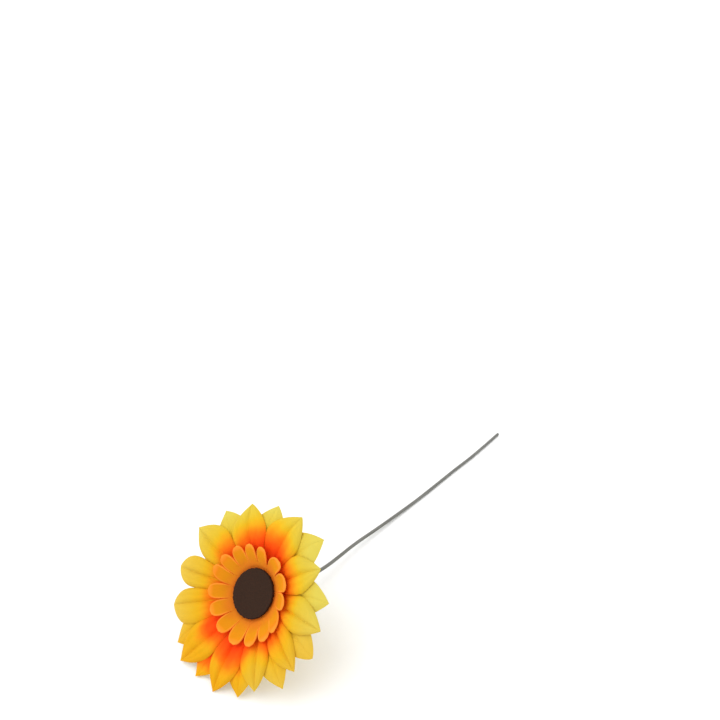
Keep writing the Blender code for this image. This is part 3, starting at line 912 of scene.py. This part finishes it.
ring = make_sheet(
    "small_petals",
    petals_of(ring_turns, RING_PETALS),
    petal_tree("Small Petal Ring", RING_OUTLINE, RING_PROFILE, RING_SECTION, RING_FULLNESS, ()),
    {
        "Rows": 20,
        "Columns": 12,
        "Hole": STEM_HOLE,
        "Root": 18.6 * MM,
        "Front": RING_FRONT,
        "Rise": 13.3 * MM,
        "Fold": 0.7 * MM,
        "Droop": 0.0,
        "Unevenness": 0.4 * MM,
        "Seed": 1.0,
    },
    RING_SHEET,
    [orange_foam, orange_foam, orange_foam_edge],
)


# ------------------------------------------------------------------ turned pieces


def make_turned(name, profile, sides, edge_at, finish):
    """A solid turned round the head's axis. The profile's (radius, z) points run from face to back.

    edge_at: how far out the edge wanders at an angle, in mm, for a point of this radius.
    """
    mesh = bmesh.new()
    rows = []
    for radius, z in profile:
        row = []
        for k in range(sides):
            angle = math.tau * k / sides
            out = radius + edge_at(angle, radius) * MM
            row.append(mesh.verts.new((out * math.sin(angle), out * math.cos(angle), z)))
        rows.append(row)
    pairs = list(zip(rows, rows[1:]))
    if profile[0][0] > 0:
        # A profile that starts off the axis leaves a hole through the piece, with a wall of its own.
        pairs.append((rows[-1], rows[0]))
    for inner, outer in pairs:
        for k in range(sides):
            after = (k + 1) % sides
            mesh.faces.new((inner[k], inner[after], outer[after], outer[k]))
    bmesh.ops.remove_doubles(mesh, verts=mesh.verts, dist=0.001 * MM)
    bmesh.ops.recalc_face_normals(mesh, faces=mesh.faces)
    data = bpy.data.meshes.new(name)
    mesh.to_mesh(data)
    mesh.free()
    data.transform(HEAD)
    data.materials.append(finish)
    item = put_in_scene(name, data)
    data.shade_smooth()
    return item


# The waves along the disc's edge: height in mm, how many go round, and where they start.
TORN_WAVES = [(0.15, 31, 0.0), (0.13, 53, 1.3), (0.1, 17, 0.6)]


def torn_edge(angle, radius):
    """The punched disc's edge is slightly torn. The waves fade out quickly towards its middle."""
    ripple = sum(height * math.sin(count * angle + start) for height, count, start in TORN_WAVES)
    return ripple * (radius / DISC_RADIUS) ** 8


FACE_RINGS = 26
EDGE = 0.6 * MM  # how far the disc's two edges are cut back
disc_profile = [((DISC_RADIUS - EDGE) * k / FACE_RINGS, 0.0) for k in range(FACE_RINGS + 1)]
disc_profile += [
    (DISC_RADIUS - 0.3 * EDGE, -0.25 * EDGE),
    (DISC_RADIUS, -EDGE),
    (DISC_RADIUS, -DISC_THICK + EDGE),
    (DISC_RADIUS - EDGE, -DISC_THICK),
    (6 * MM, -DISC_THICK),
    (0.0, -DISC_THICK),
]
seeds = make_turned("seed_face", disc_profile, sides=180, edge_at=torn_edge, finish=brown_foam)

RIB_START = 2.5 * MM  # inside this radius the calyx is round


def scallops(angle, radius):
    """Ten lobes round the calyx's flange that fade into ribs along its neck."""
    if radius < RIB_START:
        return 0.0
    share = (radius - RIB_START) / (CALYX_RADIUS - RIB_START)
    return (0.25 + share**2) * (abs(math.cos(5 * angle)) ** 0.7 - 0.9)


# The calyx's outside, as (share of its radius, mm behind its front) points with even steps between them.
CALYX_OUTSIDE = [(1.0, 1.4), (0.82, 3.4), (0.58, 6.0), (0.42, 9.5), (0.36, 14.0)]
CALYX_STEPS = 6
SOCKET_RADIUS = SLEEVE_RADIUS + GAP
SOCKET_FLOOR = -1.2 * MM
calyx_profile = [
    (STEM_HOLE, 0.0),
    (0.5 * CALYX_RADIUS, 0.0),
    (0.97 * CALYX_RADIUS, 0.0),
    (CALYX_RADIUS, -0.3 * MM),
]
for (share, depth), (next_share, next_depth) in zip(CALYX_OUTSIDE, CALYX_OUTSIDE[1:]):
    for k in range(CALYX_STEPS):
        step = k / CALYX_STEPS
        radius = CALYX_RADIUS * (share + (next_share - share) * step)
        calyx_profile.append((radius, -MM * (depth + (next_depth - depth) * step)))
calyx_profile += [
    (0.35 * CALYX_RADIUS, -CALYX_LENGTH),
    (SOCKET_RADIUS, -CALYX_LENGTH),
    (SOCKET_RADIUS, SOCKET_FLOOR),
    (STEM_HOLE, SOCKET_FLOOR),
]
calyx_profile = [(radius, z + CALYX_FRONT) for radius, z in calyx_profile]
calyx = make_turned("calyx", calyx_profile, sides=160, edge_at=scallops, finish=calyx_green)


# ------------------------------------------------------------------ the leaves

TEETH = 12  # on each side
TOOTH_ROWS = (0.0, 0.25, 0.5, 0.75, 0.97)
TOOTH_HEIGHT = 1.1 * MM
TOOTH_BAND = 0.28  # the share of a leaf's half width that the teeth bend
LEAF_COLUMNS = 36
SIDE_VEINS = 8
VEIN_BAND = 0.28  # a side vein's share of the way to the next one
MIDRIB_HALF_WIDTH = 0.7 * MM
EYELET_STEPS = 80


def leaf_place(turn, eyelet, front, along, across):
    """A spot on the leaf in the head's frame, and how much of a vein it is."""
    reach = eyelet + along * (LEAF_TIP - eyelet)
    side = abs(across)
    body = LEAF_STALK_HALF_WIDTH * (1 - along) + LEAF_HALF_WIDTH * math.sin(math.pi * along**1.3)
    saw = (along * TEETH) % 1.0
    rim = max(0.0, (side - (1 - TOOTH_BAND)) / TOOTH_BAND) ** 1.5
    tooth = TOOTH_HEIGHT * saw * math.sin(math.pi * min(1.0, along * 1.02)) ** 0.5 * rim
    angle = turn + math.copysign(side * body + tooth, across) / reach
    run = (along * (SIDE_VEINS + 1) - 1.5 * side) % 1.0
    near_vein = abs(run - 0.5) * 2
    in_vein = max(0.0, (near_vein - (1 - VEIN_BAND)) / VEIN_BAND)
    side_vein = in_vein * min(1.0, 4 * along) * (1 - side**4)
    midrib = max(0.0, 1 - side * body / MIDRIB_HALF_WIDTH)
    vein = max(side_vein**1.3 * 0.8, midrib)
    full = min(1.0, 5 * along) * (1 - along**6)
    # The leaf hangs back in a bow, its sides fold up, cloth puffs up between sunk veins, and its rim waves.
    z = front - 13 * MM * along + 4 * MM * along * (1 - along)
    z += full * (2.2 * MM * side**1.2 - 1.6 * MM * side**3)
    z += 0.35 * MM * full * (1 - vein) * (1 - side**4) - 0.15 * MM * vein
    z += 0.5 * MM * full * side**2 * math.sin(7 * along + 2.2 * across)
    return (reach * math.sin(angle), reach * math.cos(angle), z), vein


def make_leaf(name, degrees, eyelet, front):
    """A serrated leaf with pressed veins that grows from a flat eyelet on the stem."""
    mesh = bmesh.new()
    veins = mesh.verts.layers.float.new("vein")
    turn = math.radians(degrees)
    alongs = [(tooth + part) / TEETH for tooth in range(TEETH) for part in TOOTH_ROWS] + [1.0]
    rows = []
    for along in alongs:
        row = []
        for j in range(LEAF_COLUMNS + 1):
            across = -1 + 2 * j / LEAF_COLUMNS
            spot, vein = leaf_place(turn, eyelet, front, along, across)
            corner = mesh.verts.new(spot)
            corner[veins] = vein
            row.append(corner)
        rows.append(row)
    for before, row in zip(rows, rows[1:]):
        for j in range(LEAF_COLUMNS):
            mesh.faces.new((before[j + 1], row[j + 1], row[j], before[j]))
    half = LEAF_STALK_HALF_WIDTH / eyelet
    free = math.tau - 2 * half
    rim = list(rows[0])
    for k in range(1, EYELET_STEPS):
        angle = turn + half + free * k / EYELET_STEPS
        rim.append(mesh.verts.new((eyelet * math.sin(angle), eyelet * math.cos(angle), front)))
    hole = [
        mesh.verts.new((corner.co.x * STEM_HOLE / eyelet, corner.co.y * STEM_HOLE / eyelet, front))
        for corner in rim
    ]
    for k in range(len(rim)):
        after = (k + 1) % len(rim)
        mesh.faces.new((hole[after], rim[after], rim[k], hole[k]))
    bmesh.ops.remove_doubles(mesh, verts=mesh.verts, dist=0.01 * MM)
    data = bpy.data.meshes.new(name)
    mesh.to_mesh(data)
    mesh.free()
    data.transform(HEAD)
    data.materials.append(leaf_green)
    return thicken(put_in_scene(name, data), name, LEAF_SHEET)


leaves = []
leaf_front = LEAF_FRONT
for side_name, degrees, eyelet in LEAVES:
    leaves.append(make_leaf("green_leaf_" + side_name, degrees, eyelet, leaf_front))
    leaf_front -= LEAF_SHEET + GAP


# ------------------------------------------------------------------ the stem


def swept_tree(name):
    """A round section swept along a curve. It keeps its length and the place round it as attributes."""
    tree = bpy.data.node_groups.new(name, "GeometryNodeTree")
    for label, kind in (
        ("Path", "NodeSocketGeometry"),
        ("Radius", "NodeSocketFloat"),
        ("Sides", "NodeSocketInt"),
        ("Step", "NodeSocketFloat"),
        ("Capped", "NodeSocketBool"),
        ("Coating", "NodeSocketMaterial"),
    ):
        tree.interface.new_socket(label, in_out="INPUT", socket_type=kind)
    tree.interface.new_socket("Stem", in_out="OUTPUT", socket_type="NodeSocketGeometry")
    entry = add_node(tree, "NodeGroupInput").outputs
    path = add_node(
        tree,
        "GeometryNodeResampleCurve",
        {"Curve": entry["Path"], "Length": entry["Step"]},
        mode="LENGTH",
    ).outputs[0]
    section = add_node(
        tree,
        "GeometryNodeCurvePrimitiveCircle",
        {"Resolution": entry["Sides"], "Radius": entry["Radius"]},
    ).outputs[0]
    run = add_node(tree, "GeometryNodeSplineParameter").outputs
    run_mm = add_node(tree, "ShaderNodeMath", {0: run["Length"], 1: 1 / MM}, operation="MULTIPLY")
    named = []
    for geometry, label, measured in (
        (path, "length in mm", run_mm.outputs[0]),
        (section, "place round", run["Factor"]),
    ):
        stored = add_node(
            tree,
            "GeometryNodeStoreNamedAttribute",
            {"Geometry": geometry, "Name": label, "Value": measured},
            data_type="FLOAT",
            domain="POINT",
        )
        named.append(stored.outputs[0])
    swept = add_node(
        tree,
        "GeometryNodeCurveToMesh",
        {"Curve": named[0], "Profile Curve": named[1], "Fill Caps": entry["Capped"]},
    ).outputs[0]
    whole = add_node(tree, "GeometryNodeRealizeInstances", {"Geometry": swept}).outputs[0]
    finished = add_node(
        tree, "GeometryNodeSetMaterial", {"Geometry": whole, "Material": entry["Coating"]}
    ).outputs[0]
    add_node(tree, "NodeGroupOutput", {0: finished})
    return tree


STRAIGHT_PAST_CALYX = 2 * MM
END_SPAN = 1 * MM  # stands for the span before the curve's first knot and after its last one


def stem_curve(name, first_level):
    """The stem's middle line: straight out of the calyx from a level of the head, then along the route."""
    axis = HEAD.to_3x3() @ Vector((0, 0, 1))
    leave = HEAD @ Vector((0, 0, CALYX_FRONT - CALYX_LENGTH - STRAIGHT_PAST_CALYX))
    under = Vector((FACE.x, FACE.y, 0))
    knots = [HEAD @ Vector((0, 0, first_level)), leave]
    knots += [under + Vector(point) * MM for point in STEM_ROUTE]
    headings = [-axis, -axis]
    headings += [(after - before).normalized() for before, after in zip(knots[1:], knots[3:])]
    headings.append((knots[-1] - knots[-2]).normalized())
    data = bpy.data.curves.new(name, "CURVE")
    data.dimensions = "3D"
    data.resolution_u = 24  # steps between two knots, enough for a smooth bend
    spline = data.splines.new("BEZIER")
    spline.bezier_points.add(len(knots) - 1)
    for i, point in enumerate(spline.bezier_points):
        before = (knots[i] - knots[i - 1]).length if i else END_SPAN
        after = (knots[i + 1] - knots[i]).length if i < len(knots) - 1 else END_SPAN
        point.handle_left_type = "FREE"
        point.handle_right_type = "FREE"
        point.co = knots[i]
        point.handle_left = knots[i] - headings[i] * before / 3
        point.handle_right = knots[i] + headings[i] * after / 3
    return put_in_scene(name, data)


def make_stem(name, first_level, tree, inputs):
    """The stem's coating or core: the tree's section swept along the stem from a level of the head."""
    made = grow(stem_curve(name + "_line", first_level), name, tree, inputs)
    made.data.shade_smooth()
    return made


# The coating starts in the calyx's socket, and the core inside the disc.
COATING_WALL = 0.5 * MM
sweep = swept_tree("Swept Stem")
sleeve = make_stem(
    "coated_stem",
    CALYX_FRONT - 1.5 * MM,
    sweep,
    {"Radius": SLEEVE_RADIUS, "Sides": 28, "Step": 2.0 * MM, "Capped": False, "Coating": grey_coating},
)
sleeve = thicken(sleeve, "coated_stem", COATING_WALL)
core = make_stem(
    "steel_core",
    -DISC_THICK + 0.9 * MM,
    sweep,
    {"Radius": CORE_RADIUS, "Sides": 20, "Step": 4.0 * MM, "Capped": True, "Coating": bright_wire},
)
core.data.set_sharp_from_angle(angle=math.radians(50))


# ------------------------------------------------------------------ riding and replacing

for piece, node, slot in (
    (upper, "upper_petal_layer", "outer_petals"),
    (lower, "lower_petal_layer", "outer_petals"),
    (ring, "inner_petal_ring", "inner_petals"),
    (seeds, "seed_disc", "seed_disc"),
    (calyx, "calyx_cap", "calyx"),
    (leaves[0], "leaf_left", "leaves"),
    (leaves[1], "leaf_right", "leaves"),
    (sleeve, "stem_sleeve", "stem_coating"),
    (core, "stem_wire", "stem_core"),
):
    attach(piece, "root")
    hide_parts(node)

# The washer is out of sight inside the disc.
for material_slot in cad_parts["retaining_washer"].material_slots:
    material_slot.material = zinc_steel

# ------------------------------------------------------------------ floor, light and camera

FLOOR_HALF = 60.0
# White laminate is an even white and satin, with no pattern that shows.
white_laminate = plain_material(
    "white_laminate_table", "F6F6F6", "F4F4F4", roughness=0.6, grain_mm=40.0, bump_mm=0.0
)
floor_data = bpy.data.meshes.new("table_top")
floor_corners = [(x * FLOOR_HALF, y * FLOOR_HALF, 0) for x, y in ((-1, -1), (1, -1), (1, 1), (-1, 1))]
floor_data.from_pydata(floor_corners, [], [(0, 1, 2, 3)])
floor_data.materials.append(white_laminate)
floor = put_in_scene("table_top", floor_data)

world = bpy.data.worlds.new("pale_room")
bpy.context.scene.world = world
world.use_nodes = True
sky = world.node_tree
sky.nodes.clear()
room = add_node(sky, "ShaderNodeBackground", {"Color": (1, 1, 1, 1), "Strength": 1.14})
add_node(sky, "ShaderNodeOutputWorld", {"Surface": room.outputs[0]})

overhead_data = bpy.data.lights.new("overhead_softbox", "SUN")
overhead_data.energy = 1.0
overhead_data.angle = math.radians(60)
overhead = put_in_scene("overhead_softbox", overhead_data)
overhead.rotation_euler = Vector((-0.5, 0.45, -1.0)).to_track_quat("-Z", "Y").to_euler()

# The camera stands 520 mm from the face, looking down 23.4 degrees.
CAMERA_BESIDE_FACE = (0.2442, 0.2915)
CAMERA_HEIGHT = 0.4056
LOOKING = Vector((-0.7278, -0.5589, -0.3971))
camera_data = bpy.data.cameras.new("camera")
camera_data.sensor_width = 36
camera_data.lens = 31.5
camera = put_in_scene("camera", camera_data)
camera.location = (FACE.x + CAMERA_BESIDE_FACE[0], FACE.y + CAMERA_BESIDE_FACE[1], CAMERA_HEIGHT)
camera.rotation_euler = LOOKING.to_track_quat("-Z", "Y").to_euler()
bpy.context.scene.camera = camera
bpy.context.scene.view_settings.view_transform = "Standard"
